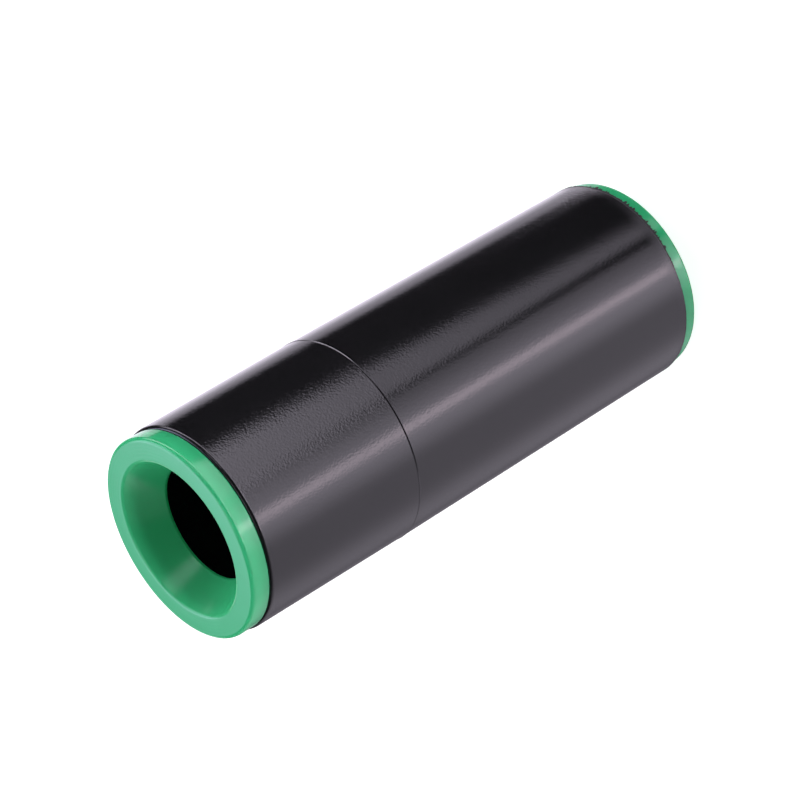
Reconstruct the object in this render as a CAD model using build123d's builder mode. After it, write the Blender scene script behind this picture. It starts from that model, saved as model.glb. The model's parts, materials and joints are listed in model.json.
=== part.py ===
from build123d import *
import os

# Compression coupler for drip irrigation tubing, in millimetres.
# A moulded barrel carries one identical compression ring in each end. The barrel's axis is Z,
# the coupler stands on its lower ring at Z = 0, and the upper ring's mouth faces +Z.

# Tubing that the coupler joins. Every radius of the coupler is stacked outwards from the tube's
tube_outer_radius = 8.9
tube_bore_radius = 7.6

# Compression ring
throat_bite = 0.03
throat_land = 0.3
throat_section = 4.38
funnel_flare = 3.23
funnel_depth = 5.25
mouth_chamfer = 0.3
flange_step = 0.3
flange_thickness = 3.1
flange_edge_round = 0.6
flange_back_chamfer = 0.35
nose_length = 4.0
nose_tip_wall = 1.3
nose_tip_chamfer = 0.4
nose_clearance = 0.05
nose_end_gap = 1.0

# Barrel: its greatest radius is at the parting line, and mould draft takes some off towards each end
barrel_length = 84.0
barrel_wall = 2.7
upper_draft = 0.2
lower_draft = 0.1
core_draft = 0.5
upper_edge_chamfer = 0.5
socket_lead_in = 0.3

# Parting line of the mould, a fine bead round the barrel
parting_height = 56.0
parting_bead_height = 0.06
parting_bead_width = 0.25

# Burr left standing round the barrel's lower end, outside the lower ring's flange
burr_height = 0.5
burr_gap = 0.1

# Stop web in the middle of the barrel, which both tube ends push up against
stop_thickness = 3.0
stop_root_chamfer = 0.8
stop_bore_chamfer = 0.5

# Places and sizes that follow from those above
lower_seat = flange_thickness
upper_seat = lower_seat + barrel_length
overall_height = upper_seat + flange_thickness
parting_z = lower_seat + parting_height
stop_z = lower_seat + barrel_length / 2
throat_radius = tube_outer_radius - throat_bite
mouth_radius = throat_radius + funnel_flare
nose_radius = throat_radius + throat_section
socket_radius = nose_radius + nose_clearance
socket_depth = nose_length + nose_end_gap
core_radius = socket_radius - core_draft
upper_end_radius = socket_radius + barrel_wall
barrel_radius = upper_end_radius + upper_draft
lower_end_radius = barrel_radius - lower_draft
flange_radius = upper_end_radius - flange_step
burr_inner_radius = flange_radius + burr_gap


def nearest_corner(section, across, along):
    """Return the section's corner that lies nearest to a point given in its own plane."""
    return section.vertices().sort_by_distance((across, along, 0))[0]


def bevel_corner(section, across, along, length):
    """Chamfer one corner of the open section, with the corner given by its place."""
    chamfer(nearest_corner(section, across, along), length)


def compression_ring(face_plane, label):
    """Make one ring from its half section, drawn as radius across and depth below its outer face."""
    throat_end = funnel_depth + throat_land
    tip_depth = flange_thickness + nose_length
    tip_inner_radius = nose_radius - nose_tip_wall
    with BuildPart() as ring:
        with BuildSketch(face_plane) as section:
            with BuildLine():
                Polyline(
                    (mouth_radius, 0),
                    (flange_radius, 0),
                    (flange_radius, flange_thickness),
                    (nose_radius, flange_thickness),
                    (nose_radius, tip_depth),
                    (tip_inner_radius, tip_depth),
                    (throat_radius, throat_end),
                    (throat_radius, funnel_depth),
                    close=True,
                )
            make_face()
            fillet(nearest_corner(section, flange_radius, 0), flange_edge_round)
            bevel_corner(section, flange_radius, flange_thickness, flange_back_chamfer)
            bevel_corner(section, mouth_radius, 0, mouth_chamfer)
            bevel_corner(section, nose_radius, tip_depth, nose_tip_chamfer)
        revolve(axis=Axis.Z)
    ring.part.label = label
    return ring.part


# The upper ring's section is drawn downwards from the top, the lower one's upwards from the floor
upper_face = Plane(origin=(0, 0, overall_height), x_dir=(1, 0, 0), z_dir=(0, 1, 0))
upper_ring = compression_ring(upper_face, "upper_ring")
lower_ring = compression_ring(Plane.XZ, "lower_ring")

# The barrel's outside swells from both ends to the parting line, where the two mould halves met.
# Inside, each half is a socket for a ring's nose and a core that tapers down to the stop web.
stop_top = stop_z + stop_thickness / 2
stop_bottom = stop_z - stop_thickness / 2
with BuildPart() as barrel:
    with BuildSketch(Plane.XZ) as barrel_section:
        with BuildLine():
            Polyline(
                (burr_inner_radius, lower_seat - burr_height),
                (lower_end_radius, lower_seat - burr_height),
                (barrel_radius, parting_z - parting_bead_width / 2),
                (barrel_radius + parting_bead_height, parting_z),
                (barrel_radius, parting_z + parting_bead_width / 2),
                (upper_end_radius, upper_seat),
                (socket_radius, upper_seat),
                (socket_radius, upper_seat - socket_depth),
                (core_radius, stop_top),
                (tube_bore_radius, stop_top),
                (tube_bore_radius, stop_bottom),
                (core_radius, stop_bottom),
                (socket_radius, lower_seat + socket_depth),
                (socket_radius, lower_seat),
                (burr_inner_radius, lower_seat),
                close=True,
            )
        make_face()
        bevel_corner(barrel_section, upper_end_radius, upper_seat, upper_edge_chamfer)
        for stop_face in (stop_top, stop_bottom):
            bevel_corner(barrel_section, core_radius, stop_face, stop_root_chamfer)
            bevel_corner(barrel_section, tube_bore_radius, stop_face, stop_bore_chamfer)
        for seat in (upper_seat, lower_seat):
            bevel_corner(barrel_section, socket_radius, seat, socket_lead_in)
    revolve(axis=Axis.Z)
barrel.part.label = "barrel"

os.makedirs("parts", exist_ok=True)
export_step(barrel.part, "parts/barrel.step")
export_step(upper_ring, "parts/upper_ring.step")
export_step(lower_ring, "parts/lower_ring.step")
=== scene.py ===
"""Looks of a compression coupler for drip irrigation tubing.

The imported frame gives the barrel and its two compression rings. Each is modelled again here as a
turned shell with its true edge rounds, takes its CAD node's place and gets a moulded plastic
finish. All lengths are in metres, in the frame's own axes: the coupler stands on its lower ring at
z = 0, and its upper ring's mouth faces +Z.
"""

import json
import logging
import math
from dataclasses import dataclass
from enum import Enum

import bmesh
import bpy
from mathutils import Matrix, Vector, noise

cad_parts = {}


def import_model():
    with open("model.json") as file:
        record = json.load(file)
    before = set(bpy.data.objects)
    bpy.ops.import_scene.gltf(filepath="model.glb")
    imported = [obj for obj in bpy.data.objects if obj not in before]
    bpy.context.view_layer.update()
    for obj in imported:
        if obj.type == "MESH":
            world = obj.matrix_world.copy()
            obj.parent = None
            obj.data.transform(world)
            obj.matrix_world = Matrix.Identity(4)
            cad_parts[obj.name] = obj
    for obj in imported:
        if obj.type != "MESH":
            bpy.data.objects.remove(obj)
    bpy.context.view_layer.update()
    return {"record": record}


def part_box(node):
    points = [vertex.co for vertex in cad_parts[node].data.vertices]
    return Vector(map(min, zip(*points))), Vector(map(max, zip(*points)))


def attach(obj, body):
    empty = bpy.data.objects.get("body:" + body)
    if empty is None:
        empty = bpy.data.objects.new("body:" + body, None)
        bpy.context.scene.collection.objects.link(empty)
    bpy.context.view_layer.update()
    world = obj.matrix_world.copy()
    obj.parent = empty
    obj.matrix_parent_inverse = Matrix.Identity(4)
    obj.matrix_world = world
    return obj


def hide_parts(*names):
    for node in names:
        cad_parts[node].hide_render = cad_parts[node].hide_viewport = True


MM = 0.001
IMAGE_SIDE_PX = 800
SENSOR_WIDTH_MM = 36.0
HALF_TURN = 180.0

Colour = tuple[float, float, float]
ProfilePoint = tuple[float, float]

WHITE: Colour = (1.0, 1.0, 1.0)
SOFTBOX: Colour = (1.0, 0.93, 1.08)
GLARE: Colour = (1.0, 0.80, 0.89)
COOL: Colour = (1.0, 1.05, 1.45)

log = logging.getLogger("coupler")


class Facing(Enum):
    """The way that a ring's mouth faces."""

    UP = 1
    DOWN = -1


class NodeSheet:
    """The node tree of one material or world, with short calls to add and join nodes."""

    MIX_FACTOR = 0
    MIX_COLOURS = (6, 7)
    MIX_RESULT = 2

    def __init__(self, owner: bpy.types.Material | bpy.types.World) -> None:
        """Empty the owner's tree and keep it.

        Args:
            owner: The material or world whose nodes are written.
        """
        owner.use_nodes = True
        self.tree = owner.node_tree
        self.tree.nodes.clear()

    def add(self, kind: str, **settings: object) -> bpy.types.Node:
        """Add a node.

        Args:
            kind: The node's Blender type name.
            **settings: Properties to set on the node.

        Returns:
            The new node.
        """
        node = self.tree.nodes.new(kind)
        for name, value in settings.items():
            setattr(node, name, value)
        return node

    def join(self, source: bpy.types.NodeSocket, target: bpy.types.NodeSocket) -> None:
        """Link an output socket to an input socket."""
        self.tree.links.new(source, target)

    def math(self, operation: str, *values: float | bpy.types.NodeSocket) -> bpy.types.NodeSocket:
        """Add a Math node.

        Args:
            operation: The Math node's operation.
            *values: Numbers or sockets, one for each input.

        Returns:
            The result's socket.
        """
        node = self.add("ShaderNodeMath", operation=operation)
        for index, value in enumerate(values):
            if isinstance(value, bpy.types.NodeSocket):
                self.join(value, node.inputs[index])
            else:
                node.inputs[index].default_value = value
        return node.outputs[0]

    def step(self, value: bpy.types.NodeSocket, low: float, high: float) -> bpy.types.NodeSocket:
        """Add a smooth step from 0 at low to 1 at high, which falls where low is the greater.

        Args:
            value: The socket that is measured.
            low: Where the step starts.
            high: Where the step ends.

        Returns:
            The step's socket.
        """
        node = self.add("ShaderNodeMapRange", interpolation_type="SMOOTHSTEP", clamp=True)
        node.inputs["From Min"].default_value = low
        node.inputs["From Max"].default_value = high
        self.join(value, node.inputs["Value"])
        return node.outputs["Result"]

    def spread(self, value: bpy.types.NodeSocket, low: float, high: float) -> bpy.types.NodeSocket:
        """Spread a value that runs from 0 to 1 over another range.

        Args:
            value: The socket that is spread.
            low: What 0 becomes.
            high: What 1 becomes.

        Returns:
            The spread value's socket.
        """
        node = self.add("ShaderNodeMapRange")
        node.inputs["To Min"].default_value = low
        node.inputs["To Max"].default_value = high
        self.join(value, node.inputs["Value"])
        return node.outputs["Result"]

    def noise(self, place: bpy.types.NodeSocket, size: float, detail: float) -> bpy.types.NodeSocket:
        """Add a noise whose grains are about the given size.

        Args:
            place: The coordinates that the noise reads.
            size: The grains' size in the coordinates' units.
            detail: The noise's detail.

        Returns:
            The noise's value socket.
        """
        node = self.add("ShaderNodeTexNoise")
        node.inputs["Scale"].default_value = 1.0 / size
        node.inputs["Detail"].default_value = detail
        self.join(place, node.inputs["Vector"])
        return node.outputs["Fac"]

    def blend(
        self,
        factor: bpy.types.NodeSocket,
        first: Colour | bpy.types.NodeSocket,
        second: Colour | bpy.types.NodeSocket,
    ) -> bpy.types.NodeSocket:
        """Add a blend of two colours.

        Args:
            factor: The socket that goes from the first colour at 0 to the second at 1.
            first: The first colour, or its socket.
            second: The second colour, or its socket.

        Returns:
            The blended colour's socket.
        """
        node = self.add("ShaderNodeMix", data_type="RGBA")
        self.join(factor, node.inputs[self.MIX_FACTOR])
        for index, colour in zip(self.MIX_COLOURS, (first, second)):
            if isinstance(colour, bpy.types.NodeSocket):
                self.join(colour, node.inputs[index])
            else:
                node.inputs[index].default_value = (*colour, 1.0)
        return node.outputs[self.MIX_RESULT]


@dataclass(frozen=True)
class Patches:
    """Soft patches that run into each other.

    Attributes:
        size: The patches' size.
        detail: The noise's detail.
    """

    size: float
    detail: float


@dataclass(frozen=True)
class Ripple:
    """A fine unevenness of a moulded surface.

    Attributes:
        size: The grains' size.
        depth: The height from the lows to the highs.
        detail: The noise's detail.
    """

    size: float
    depth: float
    detail: float = 1.0


class PlasticSheet(NodeSheet):
    """The node tree of a moulded plastic, with its shader and the object coordinates that it reads."""

    def __init__(self, name: str, ior: float) -> None:
        """Make the material.

        Args:
            name: The material's name.
            ior: The plastic's index of refraction.
        """
        self.material = bpy.data.materials.new(name)
        super().__init__(self.material)
        self.shader = self.add("ShaderNodeBsdfPrincipled")
        self.shader.inputs["IOR"].default_value = ior
        output = self.add("ShaderNodeOutputMaterial")
        self.join(self.shader.outputs["BSDF"], output.inputs["Surface"])
        self.place = self.add("ShaderNodeTexCoord").outputs["Object"]
        parts = self.add("ShaderNodeSeparateXYZ")
        self.join(self.place, parts.inputs["Vector"])
        self.x, self.y, self.z = parts.outputs

    def grains(self, pattern: Patches | Ripple) -> bpy.types.NodeSocket:
        """Add a pattern's noise.

        Args:
            pattern: The patches or the ripple.

        Returns:
            The noise's socket, from 0 to 1.
        """
        return self.noise(self.place, pattern.size, pattern.detail)

    def emboss(self, relief: bpy.types.NodeSocket) -> None:
        """Give the surface a relief.

        Args:
            relief: The socket of the relief's height in metres.
        """
        bump = self.add("ShaderNodeBump")
        bump.inputs["Strength"].default_value = 1.0
        bump.inputs["Distance"].default_value = 1.0
        self.join(relief, bump.inputs["Height"])
        self.join(bump.outputs["Normal"], self.shader.inputs["Normal"])


@dataclass(frozen=True)
class BarrelFinish:
    """Black satin-gloss plastic, pebbled above the parting line and smoother below it.

    Attributes:
        slot: The record's material slot.
        deep: The colour's darker end.
        worn: The colour's lighter end, where handling has dulled it.
        colour_patches: The patches of the two colours.
        roughness_low: The glossiest patches' roughness.
        roughness_high: The dullest patches' roughness.
        gloss_patches: The patches of more and less gloss.
        scuffed: The roughness that trimming has added at the lower end.
        scuffed_reach: How far above the burr's plain edge the scuffs begin.
        torn: The roughness that the torn edge has besides.
        torn_reach: How far above the burr's plain edge the torn plastic begins.
        parting_blend: How far the pebble changes over on each side of the parting line.
        ior: The plastic's index of refraction.
        upper_pebble: The surface above the parting line.
        lower_pebble: The surface below the parting line.
    """

    slot: str = "barrel_plastic"
    deep: Colour = (0.0110, 0.0107, 0.0128)
    worn: Colour = (0.0150, 0.0143, 0.0168)
    colour_patches: Patches = Patches(6.0 * MM, 4.0)
    roughness_low: float = 0.09
    roughness_high: float = 0.13
    gloss_patches: Patches = Patches(2.5 * MM, 3.0)
    scuffed: float = 0.16
    scuffed_reach: float = 2.5 * MM
    torn: float = 0.5
    torn_reach: float = 0.22 * MM
    parting_blend: float = 0.1 * MM
    ior: float = 1.5
    upper_pebble: Ripple = Ripple(0.29 * MM, 0.0205 * MM)
    lower_pebble: Ripple = Ripple(0.30 * MM, 0.0165 * MM)

    def material(self, parting_z: float, burr_z: float) -> bpy.types.Material:
        """Make the material.

        Args:
            parting_z: The height of the parting line.
            burr_z: The height of the burr's plain edge.

        Returns:
            The finished material.
        """
        sheet = PlasticSheet("black_barrel_plastic", self.ior)
        colour = sheet.blend(sheet.grains(self.colour_patches), self.deep, self.worn)
        sheet.join(colour, sheet.shader.inputs["Base Color"])

        gloss = sheet.spread(sheet.grains(self.gloss_patches), self.roughness_low, self.roughness_high)
        scuffs = sheet.step(sheet.z, burr_z + self.scuffed_reach, burr_z)
        tears = sheet.step(sheet.z, burr_z + self.torn_reach, burr_z)
        dulled = sheet.math("MULTIPLY_ADD", scuffs, self.scuffed, gloss)
        roughness = sheet.math("MULTIPLY_ADD", tears, self.torn, dulled)
        sheet.join(roughness, sheet.shader.inputs["Roughness"])

        above = sheet.step(sheet.z, parting_z - self.parting_blend, parting_z + self.parting_blend)
        below = sheet.math("SUBTRACT", 1.0, above)
        upper = sheet.math("MULTIPLY", sheet.grains(self.upper_pebble), above)
        lower = sheet.math("MULTIPLY", sheet.grains(self.lower_pebble), below)
        upper_relief = sheet.math("MULTIPLY", upper, self.upper_pebble.depth)
        lower_relief = sheet.math("MULTIPLY", lower, self.lower_pebble.depth)
        sheet.emboss(sheet.math("ADD", upper_relief, lower_relief))
        return sheet.material


@dataclass(frozen=True)
class RingFinish:
    """Green semi-gloss plastic with faint turning marks on the flange's face, and painted shade on the
    flange's outer wall next to the black barrel.

    Attributes:
        slot: The record's material slot.
        deep: The colour's darker end.
        milky: The colour's paler end.
        colour_patches: The patches of the two colours.
        seat_shade_level: How far the painted shade darkens the flange's outer wall next to the black barrel,
            as a share of its colour.
        seat_shade_fade: How far from the barrel's end the painted shade reaches.
        flange_inner: The radius outside which the painted shade falls.
        roughness_low: The glossiest patches' roughness.
        roughness_high: The dullest patches' roughness.
        gloss_patches: The patches of more and less gloss.
        funnel_edge: The radius at which the funnel's duller plastic begins.
        funnel_dulled: The roughness that the funnel has besides.
        radius_blend: The step of radius over which the flange and the funnel change over.
        ior: The plastic's index of refraction.
        grain: The skin's fine unevenness.
        mark_pitch: The distance from one turning mark to the next.
        mark_depth: The turning marks' depth.
    """

    slot: str = "ring_plastic"
    deep: Colour = (0.052, 0.63, 0.265)
    milky: Colour = (0.068, 0.69, 0.31)
    colour_patches: Patches = Patches(5.0 * MM, 3.0)
    seat_shade_level: float = 0.78
    seat_shade_fade: float = 2.4 * MM
    flange_inner: float = 13.5 * MM
    roughness_low: float = 0.07
    roughness_high: float = 0.12
    gloss_patches: Patches = Patches(3.0 * MM, 3.0)
    funnel_edge: float = 12.8 * MM
    funnel_dulled: float = 0.13
    radius_blend: float = 1.0 * MM
    ior: float = 1.5
    grain: Ripple = Ripple(0.6 * MM, 0.0010 * MM, 2.0)
    mark_pitch: float = 0.55 * MM
    mark_depth: float = 0.0008 * MM

    def material(self, middle_z: float, seat_reach: float) -> bpy.types.Material:
        """Make the material.

        Args:
            middle_z: The height half way between the two rings' seats.
            seat_reach: How far each seat lies from there.

        Returns:
            The finished material.
        """
        sheet = PlasticSheet("green_ring_plastic", self.ior)
        across = sheet.math("MULTIPLY", sheet.x, sheet.x)
        along = sheet.math("MULTIPLY", sheet.y, sheet.y)
        radius = sheet.math("SQRT", sheet.math("ADD", across, along))

        # Painted shade: the colour darkens on the flange's outer wall towards the barrel's end, where the
        # crevice and the black barrel take light away.
        from_middle = sheet.math("ABSOLUTE", sheet.math("SUBTRACT", sheet.z, middle_z))
        seat_shade_mask = sheet.step(from_middle, seat_reach + self.seat_shade_fade, seat_reach)
        outside = sheet.step(radius, self.flange_inner, self.flange_inner + self.radius_blend)
        shaded = sheet.math("MULTIPLY", seat_shade_mask, outside)
        level = sheet.math("MULTIPLY_ADD", shaded, self.seat_shade_level - 1.0, 1.0)
        colour = sheet.add("ShaderNodeVectorMath", operation="SCALE")
        plain = sheet.blend(sheet.grains(self.colour_patches), self.deep, self.milky)
        sheet.join(plain, colour.inputs[0])
        sheet.join(level, colour.inputs["Scale"])
        sheet.join(colour.outputs[0], sheet.shader.inputs["Base Color"])

        gloss = sheet.spread(sheet.grains(self.gloss_patches), self.roughness_low, self.roughness_high)
        inside = sheet.step(radius, self.funnel_edge, self.funnel_edge - self.radius_blend)
        roughness = sheet.math("MULTIPLY_ADD", inside, self.funnel_dulled, gloss)
        sheet.join(roughness, sheet.shader.inputs["Roughness"])

        wave = sheet.math("SINE", sheet.math("MULTIPLY", radius, math.tau / self.mark_pitch))
        marks = sheet.math("MULTIPLY", wave, self.mark_depth)
        skin = sheet.math("MULTIPLY", sheet.grains(self.grain), self.grain.depth)
        sheet.emboss(sheet.math("ADD", skin, marks))
        return sheet.material


@dataclass(frozen=True)
class Round:
    """A rounded edge.

    Attributes:
        size: The round's radius.
        segments: The number of faces across the round.
    """

    size: float
    segments: int


class TurnedShell:
    """A closed shell turned from a closed profile round the Z axis."""

    TOLERANCE = 1e-6
    SHARP_ANGLE = math.radians(24.0)

    def __init__(self, profile: list[ProfilePoint], steps: int) -> None:
        """Turn the profile.

        Args:
            profile: Corners as radius and height, in order round the section.
            steps: The number of steps in the full turn.
        """
        self.mesh = bmesh.new()
        corners = [self.mesh.verts.new((radius, 0.0, height)) for radius, height in profile]
        edges = [self.mesh.edges.new(pair) for pair in zip(corners, corners[1:] + corners[:1])]
        bmesh.ops.spin(
            self.mesh,
            geom=corners + edges,
            axis=(0.0, 0.0, 1.0),
            cent=(0.0, 0.0, 0.0),
            dvec=(0.0, 0.0, 0.0),
            angle=math.tau,
            steps=steps,
            use_merge=True,
        )
        bmesh.ops.remove_doubles(self.mesh, verts=self.mesh.verts[:], dist=self.TOLERANCE)
        bmesh.ops.recalc_face_normals(self.mesh, faces=self.mesh.faces[:])

    def circle(self, radius: float, height: float) -> list[bmesh.types.BMEdge]:
        """Find the edges of one turned corner.

        Args:
            radius: The corner's radius.
            height: The corner's height.

        Returns:
            The corner's edges, all round.
        """
        return [
            edge
            for edge in self.mesh.edges
            if all(
                abs(math.hypot(vertex.co.x, vertex.co.y) - radius) < self.TOLERANCE
                and abs(vertex.co.z - height) < self.TOLERANCE
                for vertex in edge.verts
            )
        ]

    def round_off(self, radius: float, height: float, edge: Round) -> None:
        """Round one turned corner.

        Args:
            radius: The corner's radius.
            height: The corner's height.
            edge: The round that it gets.
        """
        bmesh.ops.bevel(
            self.mesh,
            geom=self.circle(radius, height),
            offset=edge.size,
            offset_type="OFFSET",
            segments=edge.segments,
            profile=0.5,
            affect="EDGES",
            material=-1,
            clamp_overlap=False,
        )

    def finish(self, name: str) -> bpy.types.Object:
        """Turn the shell into a smooth-shaded object.

        Args:
            name: The piece's name.

        Returns:
            The piece's object, at the origin.
        """
        data = bpy.data.meshes.new(name)
        self.mesh.to_mesh(data)
        self.mesh.free()
        data.shade_smooth()
        data.set_sharp_from_angle(angle=self.SHARP_ANGLE)
        piece = bpy.data.objects.new(name, data)
        bpy.context.collection.objects.link(piece)
        even = piece.modifiers.new("even_normals", "WEIGHTED_NORMAL")
        even.keep_sharp = True
        return piece


@dataclass
class CompressionRing:
    """One compression ring: flange, funnel mouth, sharp throat, relief cone and nose.

    Attributes:
        name: The piece's name.
        node: The CAD node that it stands for.
        facing: The way that the mouth faces.
        face_z: The height of the flange's outer face.
        seat_z: The height of the barrel's end that the flange sits on.
        tip_z: The height of the nose's tip.
        flange_radius: The flange's radius.
        throat_radius: The throat's radius.
        mouth_radius: The radius of the funnel's mouth.
        nose_radius: The nose's outer radius.
        funnel_depth: The depth of the throat below the face.
        throat_land: The length of the throat's wall.
        tip_wall: The nose's wall at its tip.
        edge_round: The round of the flange's outer edge.
        mouth_round: The round of the mouth's edge.
        back_round: The round of the flange's edge at the barrel.
        throat_round: The round of the throat's outer edge.
        steps: The number of steps in the full turn.
    """

    name: str
    node: str
    facing: Facing
    face_z: float
    seat_z: float
    tip_z: float
    flange_radius: float
    throat_radius: float
    mouth_radius: float = 12.1 * MM
    nose_radius: float = 13.25 * MM
    funnel_depth: float = 5.25 * MM
    throat_land: float = 0.3 * MM
    tip_wall: float = 1.3 * MM
    edge_round: Round = Round(0.6 * MM, 10)
    mouth_round: Round = Round(0.35 * MM, 6)
    back_round: Round = Round(0.28 * MM, 4)
    throat_round: Round = Round(0.12 * MM, 3)
    steps: int = 256

    def below_face(self, depth: float) -> float:
        """Return the height that lies a depth inside the ring's outer face."""
        return self.face_z - self.facing.value * depth

    def build(self) -> bpy.types.Object:
        """Model the ring.

        Returns:
            The ring's object.
        """
        throat_z = self.below_face(self.funnel_depth)
        land_end_z = self.below_face(self.funnel_depth + self.throat_land)
        shell = TurnedShell(
            [
                (self.mouth_radius, self.face_z),
                (self.flange_radius, self.face_z),
                (self.flange_radius, self.seat_z),
                (self.nose_radius, self.seat_z),
                (self.nose_radius, self.tip_z),
                (self.nose_radius - self.tip_wall, self.tip_z),
                (self.throat_radius, land_end_z),
                (self.throat_radius, throat_z),
            ],
            self.steps,
        )
        shell.round_off(self.flange_radius, self.face_z, self.edge_round)
        shell.round_off(self.mouth_radius, self.face_z, self.mouth_round)
        shell.round_off(self.flange_radius, self.seat_z, self.back_round)
        shell.round_off(self.throat_radius, throat_z, self.throat_round)
        piece = shell.finish(self.name)
        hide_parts(self.node)
        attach(piece, "root")
        return piece

    def dress(self, piece: bpy.types.Object, finish: RingFinish, plastic: bpy.types.Material) -> None:
        """Give the ring its plastic.

        Args:
            piece: The ring's object.
            finish: The ring's finish; not used.
            plastic: The finish's material.
        """
        piece.data.materials.append(plastic)


@dataclass(frozen=True)
class TornEdge:
    """The stretch of the barrel's burr that trimming has torn.

    Attributes:
        rise: How far the torn stretch stands past the burr's plain edge.
        reach: How far its longest tatters stand past that.
        grain: The length of one tatter round the edge.
        finer: How many times shorter the small tatters between them are.
        finer_share: How strong the small tatters are next to the others.
        steepness: How soon a tatter comes to its full reach.
        waver: How far the whole edge wavers, also where it isn't torn.
        middle: The azimuth of the torn stretch's middle, in degrees.
        half_stretch: Half the torn stretch, in degrees.
        taper: The power that keeps the stretch even until near its ends.
    """

    rise: float = 0.2 * MM
    reach: float = 0.5 * MM
    grain: float = 0.3 * MM
    finer: float = 2.3
    finer_share: float = 0.5
    steepness: float = 3.0
    waver: float = 0.04 * MM
    middle: float = 42.0
    half_stretch: float = 54.0
    taper: int = 4

    def tear(self, vertex: bmesh.types.BMVert) -> None:
        """Move a vertex of the burr's plain edge to where the torn edge lies.

        Args:
            vertex: The vertex.
        """
        azimuth = math.degrees(math.atan2(vertex.co.y, vertex.co.x))
        torn = max(0.0, 1.0 - ((azimuth - self.middle) / self.half_stretch) ** self.taper)
        place = Vector((vertex.co.x, vertex.co.y, 0.0)) / self.grain
        ragged = noise.noise(place) + self.finer_share * noise.noise(self.finer * place)
        tatter = min(1.0, max(0.0, self.steepness * ragged))
        vertex.co.z -= torn * (self.rise + self.reach * tatter)
        vertex.co.z += self.waver * ragged


@dataclass
class Barrel:
    """The moulded barrel with its parting bead, tube stop and the trimmed burr at its lower end.

    Attributes:
        name: The piece's name.
        node: The CAD node that it stands for.
        burr_z: The height of the burr's plain edge.
        lower_seat_z: The height of the lower ring's seat.
        upper_seat_z: The height of the upper ring's seat.
        flange_radius: The radius of the flange inside the burr.
        lower_radius: The outer radius at the lower end.
        parting_radius: The outer radius at the parting line.
        upper_radius: The outer radius at the upper end.
        parting_height: The parting line's height over the lower seat.
        bead_height: How far the parting bead stands out.
        bead_width: The parting bead's width.
        socket_radius: The radius of the sockets for the rings' noses.
        socket_depth: The depth of the sockets.
        core_radius: The inner radius at the stop.
        stop_thickness: The stop web's thickness.
        stop_bore_radius: The radius of the water way through the stop.
        upper_edge_round: The round of the upper end's edge.
        stop_root_round: The round where the stop meets the wall.
        stop_bore_round: The round of the water way's edges.
        burr_gap: The gap between the flange and the burr.
        torn_edge: The burr's torn stretch.
        steps: The number of steps in the full turn.
    """

    name: str
    node: str
    burr_z: float
    lower_seat_z: float
    upper_seat_z: float
    flange_radius: float
    lower_radius: float = 16.1 * MM
    parting_radius: float = 16.2 * MM
    upper_radius: float = 16.0 * MM
    parting_height: float = 56.0 * MM
    bead_height: float = 0.06 * MM
    bead_width: float = 0.25 * MM
    socket_radius: float = 13.3 * MM
    socket_depth: float = 5.0 * MM
    core_radius: float = 12.8 * MM
    stop_thickness: float = 3.0 * MM
    stop_bore_radius: float = 7.6 * MM
    upper_edge_round: Round = Round(0.55 * MM, 5)
    stop_root_round: Round = Round(1.0 * MM, 5)
    stop_bore_round: Round = Round(0.5 * MM, 4)
    burr_gap: float = 0.1 * MM
    torn_edge: TornEdge = TornEdge()
    steps: int = 720

    @property
    def parting_z(self) -> float:
        """Return the parting line's height."""
        return self.lower_seat_z + self.parting_height

    def build(self) -> bpy.types.Object:
        """Model the barrel.

        Returns:
            The barrel's object.
        """
        middle = (self.lower_seat_z + self.upper_seat_z) / 2
        stop_top = middle + self.stop_thickness / 2
        stop_bottom = middle - self.stop_thickness / 2
        burr_inner_radius = self.flange_radius + self.burr_gap
        shell = TurnedShell(
            [
                (burr_inner_radius, self.burr_z),
                (self.lower_radius, self.burr_z),
                (self.parting_radius, self.parting_z - self.bead_width / 2),
                (self.parting_radius + self.bead_height, self.parting_z),
                (self.parting_radius, self.parting_z + self.bead_width / 2),
                (self.upper_radius, self.upper_seat_z),
                (self.socket_radius, self.upper_seat_z),
                (self.socket_radius, self.upper_seat_z - self.socket_depth),
                (self.core_radius, stop_top),
                (self.stop_bore_radius, stop_top),
                (self.stop_bore_radius, stop_bottom),
                (self.core_radius, stop_bottom),
                (self.socket_radius, self.lower_seat_z + self.socket_depth),
                (self.socket_radius, self.lower_seat_z),
                (burr_inner_radius, self.lower_seat_z),
            ],
            self.steps,
        )
        shell.round_off(self.upper_radius, self.upper_seat_z, self.upper_edge_round)
        for stop_face in (stop_top, stop_bottom):
            shell.round_off(self.core_radius, stop_face, self.stop_root_round)
            shell.round_off(self.stop_bore_radius, stop_face, self.stop_bore_round)
        for vertex in shell.mesh.verts:
            if abs(vertex.co.z - self.burr_z) < TurnedShell.TOLERANCE:
                self.torn_edge.tear(vertex)
        piece = shell.finish(self.name)
        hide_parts(self.node)
        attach(piece, "root")
        return piece

    def dress(self, piece: bpy.types.Object, finish: BarrelFinish) -> None:
        """Give the barrel its plastic.

        Args:
            piece: The barrel's object.
            finish: The barrel's finish.
        """
        piece.data.materials.append(finish.material(self.parting_z, self.burr_z))


@dataclass(frozen=True)
class Light:
    """One direction of a row of lights, which run over into each other.

    Attributes:
        azimuth: The direction from +X towards +Y, in degrees.
        level: The light's level, where 1 is white.
    """

    azimuth: float
    level: float


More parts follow.
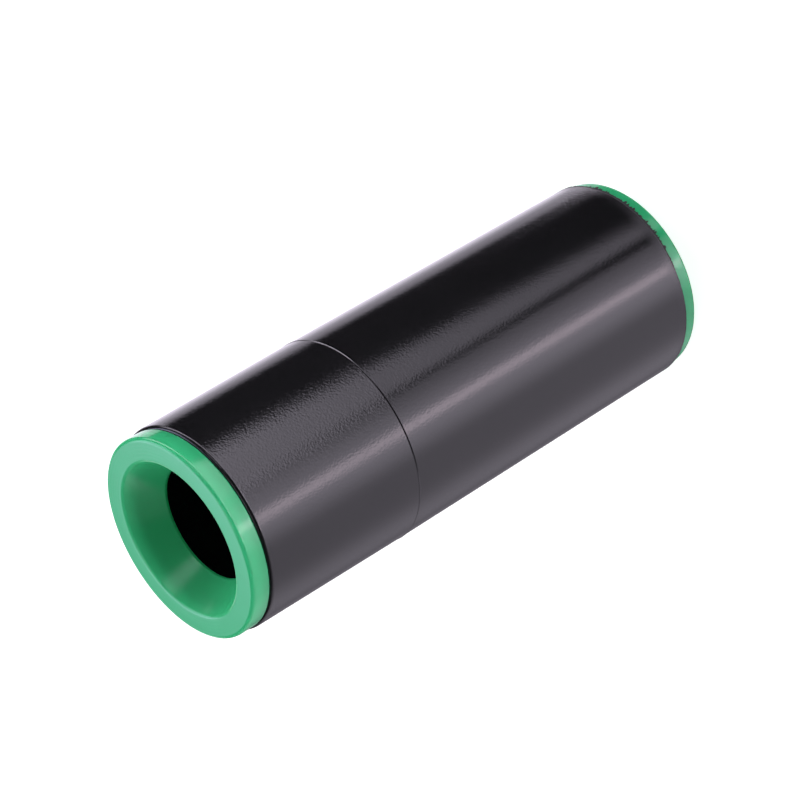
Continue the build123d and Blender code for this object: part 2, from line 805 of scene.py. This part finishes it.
@dataclass(frozen=True)
class SoftBox:
    """A soft light that only glossy surfaces mirror, with all angles in degrees.

    Attributes:
        name: What it stands for in the studio.
        start: The azimuth of its first edge, from +X towards +Y.
        end: The azimuth of its other edge.
        level: The light's level, where 1 is white.
        tint: The light's tint.
        start_fade: How far the first edge fades both ways.
        end_fade: How far the other edge fades both ways.
        start_lean: How far the first edge moves on for each degree further up.
        end_lean: How far the other edge moves on for each degree further up.
        bottom: The elevation of its bottom edge.
        top: The elevation of its top edge.
        fade: How far the bottom and top edges fade both ways.
    """

    name: str
    start: float
    end: float
    level: float
    tint: Colour = SOFTBOX
    start_fade: float = 4.0
    end_fade: float = 4.0
    start_lean: float = 0.0
    end_lean: float = 0.0
    bottom: float = -60.0
    top: float = 0.0
    fade: float = 4.0


@dataclass
class Studio:
    """A plain white sweep, soft light all round, and the camera at the photograph's angle.

    Attributes:
        floor_side: The floor's width.
        floor_paint: The floor's grey level.
        floor_glow: The level added to the floor where the camera sees it.
        camera_azimuth: The camera's direction from the axis, from +X towards +Y, in degrees.
        camera_elevation: The camera's height over the floor as an angle, in degrees.
        camera_roll: The camera's turn about its own view, in degrees.
        camera_distance: The camera's distance from the point that it looks at.
        aim_side: How far the point that it looks at lies from the axis along +Y.
        aim_height: The height of the point that it looks at.
        focal_px: The focal length in pixels of the photograph.
        lean_elevation: The elevation at which the soft boxes stand where their azimuths say.
        clip_near: The nearest distance that the camera sees.
        clip_far: The farthest distance that the camera sees.
        strip_top: The elevation at which the low strip lights end, in degrees.
        strip_fade: How far they fade both ways there, in degrees.
        soft_boxes: What glossy surfaces mirror.
        strip_sky: The low strip lights that light the sides.
        high_sky: The soft light from above.
    """

    floor_side: float = 6.0
    floor_paint: float = 0.8
    floor_glow: float = 0.84
    camera_azimuth: float = -0.1297
    camera_elevation: float = 32.9168
    camera_roll: float = -120.82
    camera_distance: float = 431.83 * MM
    aim_side: float = 0.9213 * MM
    aim_height: float = 46.7889 * MM
    focal_px: float = 2940.5
    lean_elevation: float = -33.0
    clip_near: float = 0.01
    clip_far: float = 50.0
    strip_top: float = 5.0
    strip_fade: float = 2.0
    soft_boxes: tuple[SoftBox, ...] = (
        SoftBox("right_wall", -142.0, 12.5, 0.86, start_fade=32.0),
        SoftBox("window_wall", -75.0, 12.5, 0.35, start_fade=25.0),
        SoftBox("window_glow", -43.0, -7.0, 1.9, start_fade=16.5, end_fade=18.0),
        SoftBox(
            "window",
            -26.0,
            -18.0,
            3.5,
            GLARE,
            start_fade=3.5,
            end_fade=3.5,
            start_lean=-0.25,
            end_lean=-0.25,
        ),
        SoftBox("left_card", 16.5, 51.0, 1.45, start_lean=-1.2, end_lean=2.1),
        SoftBox("left_card_top", 16.5, 51.0, 0.6, start_lean=-1.2, end_lean=2.1, bottom=-32.5, fade=2.0),
        SoftBox("back_wall", 126.0, 180.0, 0.87, start_fade=2.5, end_fade=1.5, start_lean=1.15),
        SoftBox("back_wall_glow", 146.0, 176.0, 0.65, start_fade=16.0, end_fade=16.0),
        SoftBox("far_corner", 184.0, 202.0, 0.25, start_fade=8.0, end_fade=8.0),
        SoftBox("high_card", 40.0, 64.0, 1.7, start_fade=6.0, end_fade=6.0, bottom=22.0, top=40.0, fade=3.0),
        SoftBox("low_card", 82.0, 122.0, 1.5, bottom=-20.0, top=8.0, fade=2.5),
        SoftBox("skylight", 110.0, 184.0, 2.3, COOL, start_fade=20.0, end_fade=8.0, bottom=28.0, top=70.0),
        SoftBox("left_card_peak", -6.0, 55.5, 1.0, end_fade=2.0, end_lean=2.1, bottom=-28.8, fade=2.0),
        SoftBox("right_wall_top", -142.0, -42.0, 0.8, start_fade=20.0, end_fade=6.0, bottom=0.0, top=14.0),
        SoftBox(
            "right_wall_high", -120.0, -50.0, 0.3, start_fade=10.0, end_fade=10.0, bottom=14.0, top=34.0
        ),
        SoftBox("table", -80.0, 140.0, 1.0, bottom=-75.0, top=-50.0),
        SoftBox("table_edge", 108.0, 146.0, 2.5, bottom=-60.0, top=-39.5, fade=1.0),
        SoftBox("table_behind", 165.0, 195.0, 1.4, bottom=-18.0, top=17.0),
        SoftBox("ceiling", -190.0, 190.0, 1.6, bottom=76.0, top=100.0),
    )
    strip_sky: tuple[Light, ...] = (
        Light(-180.0, 1.8),
        Light(-110.0, 3.6),
        Light(-60.0, 4.6),
        Light(-10.0, 6.0),
        Light(60.0, 5.0),
        Light(110.0, 2.2),
        Light(180.0, 1.6),
    )
    high_sky: tuple[Light, ...] = (
        Light(-180.0, 1.9),
        Light(-150.0, 1.5),
        Light(-120.0, 0.3),
        Light(-60.0, 0.11),
        Light(0.0, 0.11),
        Light(40.0, 0.22),
        Light(100.0, 0.38),
        Light(130.0, 1.6),
        Light(180.0, 1.9),
    )

    def build(self) -> None:
        """Make the floor, the light and the camera."""
        bpy.context.scene.view_settings.view_transform = "Standard"
        self.lay_floor()
        self.light_world()
        self.place_camera()

    def lay_floor(self) -> None:
        """Lay a white floor that keeps the coupler's shadow."""
        sheet_mesh = bmesh.new()
        bmesh.ops.create_grid(sheet_mesh, x_segments=2, y_segments=2, size=self.floor_side / 2)
        data = bpy.data.meshes.new("floor")
        sheet_mesh.to_mesh(data)
        sheet_mesh.free()
        floor = bpy.data.objects.new("floor", data)
        bpy.context.collection.objects.link(floor)
        floor.visible_glossy = False

        material = bpy.data.materials.new("white_sweep")
        sheet = NodeSheet(material)
        paint = sheet.add("ShaderNodeBsdfDiffuse")
        paint.inputs["Color"].default_value = (self.floor_paint, self.floor_paint, self.floor_paint, 1.0)
        glow = sheet.add("ShaderNodeEmission")
        seen = sheet.add("ShaderNodeLightPath").outputs["Is Camera Ray"]
        sheet.join(sheet.math("MULTIPLY", seen, self.floor_glow), glow.inputs["Strength"])
        both = sheet.add("ShaderNodeAddShader")
        sheet.join(paint.outputs["BSDF"], both.inputs[0])
        sheet.join(glow.outputs["Emission"], both.inputs[1])
        output = sheet.add("ShaderNodeOutputMaterial")
        sheet.join(both.outputs["Shader"], output.inputs["Surface"])
        data.materials.append(material)

    def light_world(self) -> None:
        """Write the studio round the coupler.

        Matt surfaces get a soft sky over low strip lights. Glossy ones mirror soft boxes against
        black, also from below the horizon, where the floor is left out of reflections.
        """
        world = bpy.data.worlds.new("studio")
        bpy.context.scene.world = world
        sheet = NodeSheet(world)
        direction = sheet.add("ShaderNodeTexCoord").outputs["Generated"]
        parts = sheet.add("ShaderNodeSeparateXYZ")
        sheet.join(direction, parts.inputs["Vector"])
        azimuth = sheet.math("DEGREES", sheet.math("ARCTAN2", parts.outputs["Y"], parts.outputs["X"]))
        elevation = sheet.math("DEGREES", sheet.math("ARCSINE", parts.outputs["Z"]))
        gloss = self.mirrored(sheet, azimuth, elevation)

        strip = self.light_row(sheet, azimuth, self.strip_sky)
        high = self.light_row(sheet, azimuth, self.high_sky)
        over = sheet.step(elevation, self.strip_top - self.strip_fade, self.strip_top + self.strip_fade)
        sky = sheet.blend(over, strip, high)

        path = sheet.add("ShaderNodeLightPath")
        seen = sheet.blend(path.outputs["Is Glossy Ray"], sky, gloss)
        colour = sheet.blend(path.outputs["Is Camera Ray"], seen, WHITE)
        light = sheet.add("ShaderNodeBackground")
        sheet.join(colour, light.inputs["Color"])
        output = sheet.add("ShaderNodeOutputWorld")
        sheet.join(light.outputs["Background"], output.inputs["Surface"])

    def mirrored(
        self,
        sheet: NodeSheet,
        azimuth: bpy.types.NodeSocket,
        elevation: bpy.types.NodeSocket,
    ) -> bpy.types.NodeSocket:
        """Write the soft boxes.

        Args:
            sheet: The world's nodes.
            azimuth: The direction's azimuth, in degrees from +X.
            elevation: The direction's elevation, in degrees.

        Returns:
            The colour socket of all boxes together.
        """
        total = sheet.add("ShaderNodeCombineXYZ").outputs["Vector"]
        rise = sheet.math("SUBTRACT", elevation, self.lean_elevation)
        for box in self.soft_boxes:
            half = (box.end - box.start) / 2
            turned = sheet.math("SUBTRACT", azimuth, box.start + half)
            aside = sheet.math("WRAP", turned, HALF_TURN, -HALF_TURN)
            first = sheet.math("SUBTRACT", aside, sheet.math("MULTIPLY", rise, box.start_lean))
            other = sheet.math("SUBTRACT", aside, sheet.math("MULTIPLY", rise, box.end_lean))
            begun = sheet.step(first, -half - box.start_fade, -half + box.start_fade)
            left = sheet.step(other, half + box.end_fade, half - box.end_fade)
            over = sheet.step(elevation, box.bottom - box.fade, box.bottom + box.fade)
            under = sheet.step(elevation, box.top + box.fade, box.top - box.fade)
            light = sheet.add("ShaderNodeVectorMath", operation="SCALE", label=box.name)
            light.inputs[0].default_value = [box.level * part for part in box.tint]
            wide = sheet.math("MULTIPLY", begun, left)
            high = sheet.math("MULTIPLY", over, under)
            sheet.join(sheet.math("MULTIPLY", wide, high), light.inputs["Scale"])
            both = sheet.add("ShaderNodeVectorMath", operation="ADD")
            sheet.join(total, both.inputs[0])
            sheet.join(light.outputs[0], both.inputs[1])
            total = both.outputs[0]
        return total

    def light_row(
        self,
        sheet: NodeSheet,
        azimuth: bpy.types.NodeSocket,
        lights: tuple[Light, ...],
    ) -> bpy.types.NodeSocket:
        """Write one row of lights all round.

        Args:
            sheet: The world's nodes.
            azimuth: The direction's azimuth, in degrees from +X.
            lights: The row's lights in rising order of azimuth.

        Returns:
            The row's colour socket.
        """
        turn = sheet.add("ShaderNodeMapRange")
        turn.inputs["From Min"].default_value = -HALF_TURN
        turn.inputs["From Max"].default_value = HALF_TURN
        sheet.join(azimuth, turn.inputs["Value"])
        ramp = sheet.add("ShaderNodeValToRGB")
        stops = ramp.color_ramp.elements
        for index, light in enumerate(lights):
            place = (light.azimuth + HALF_TURN) / (2 * HALF_TURN)
            stop = stops[index] if index < len(stops) else stops.new(place)
            stop.position = place
            stop.color = (light.level, light.level, light.level, 1.0)
        sheet.join(turn.outputs["Result"], ramp.inputs["Fac"])
        return ramp.outputs["Color"]

    def place_camera(self) -> None:
        """Place the camera."""
        data = bpy.data.cameras.new("camera")
        data.sensor_width = SENSOR_WIDTH_MM
        data.lens = self.focal_px / IMAGE_SIDE_PX * SENSOR_WIDTH_MM
        data.clip_start = self.clip_near
        data.clip_end = self.clip_far
        camera = bpy.data.objects.new("camera", data)
        bpy.context.collection.objects.link(camera)
        azimuth = math.radians(self.camera_azimuth)
        elevation = math.radians(self.camera_elevation)
        back = Vector(
            (
                math.cos(azimuth) * math.cos(elevation),
                math.sin(azimuth) * math.cos(elevation),
                math.sin(elevation),
            )
        )
        upright = back.to_track_quat("Z", "Y").to_matrix().to_4x4()
        roll = Matrix.Rotation(math.radians(self.camera_roll), 4, "Z")
        aim = Vector((0.0, self.aim_side, self.aim_height))
        camera.matrix_world = Matrix.Translation(aim + back * self.camera_distance) @ upright @ roll
        bpy.context.scene.camera = camera


def node_span(node: str) -> tuple[float, float, float]:
    """Read a CAD node's place.

    Args:
        node: The node's name.

    Returns:
        Its lowest height, its highest height and its greatest radius.
    """
    low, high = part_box(node)
    return low[2], high[2], (high[0] - low[0]) / 2


def main() -> None:
    """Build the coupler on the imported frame, then the studio round it."""
    logging.basicConfig(level=logging.INFO, format="%(name)s: %(message)s")
    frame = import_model()
    mounts = {mount["name"]: mount for mount in frame["record"]["mounts"]}
    throat_radius = mounts["upper_tube_throat"]["dims"]["r_mm"] * MM
    barrel_bottom, barrel_top, _ = node_span("barrel")
    upper_bottom, upper_top, flange_radius = node_span("upper_ring")
    lower_bottom, lower_top, _ = node_span("lower_ring")
    flange_thickness = upper_top - barrel_top

    ring_finish = RingFinish()
    lower_seat = lower_bottom + flange_thickness
    ring_plastic = ring_finish.material((lower_seat + barrel_top) / 2, (barrel_top - lower_seat) / 2)
    upper_ring = CompressionRing(
        name="upper_ring_green",
        node="upper_ring",
        facing=Facing.UP,
        face_z=upper_top,
        seat_z=barrel_top,
        tip_z=upper_bottom,
        flange_radius=flange_radius,
        throat_radius=throat_radius,
    )
    lower_ring = CompressionRing(
        name="lower_ring_green",
        node="lower_ring",
        facing=Facing.DOWN,
        face_z=lower_bottom,
        seat_z=lower_seat,
        tip_z=lower_top,
        flange_radius=flange_radius,
        throat_radius=throat_radius,
    )
    for ring in (upper_ring, lower_ring):
        piece = ring.build()
        ring.dress(piece, ring_finish, ring_plastic)
        log.info("%s: %d faces", piece.name, len(piece.data.polygons))

    barrel = Barrel(
        name="barrel_black",
        node="barrel",
        burr_z=barrel_bottom,
        lower_seat_z=lower_seat,
        upper_seat_z=barrel_top,
        flange_radius=flange_radius,
    )
    piece = barrel.build()
    barrel.dress(piece, BarrelFinish())
    log.info("%s: %d faces", piece.name, len(piece.data.polygons))

    Studio().build()
    log.info("studio: floor, light and camera")


if __name__ == "__main__":
    main()
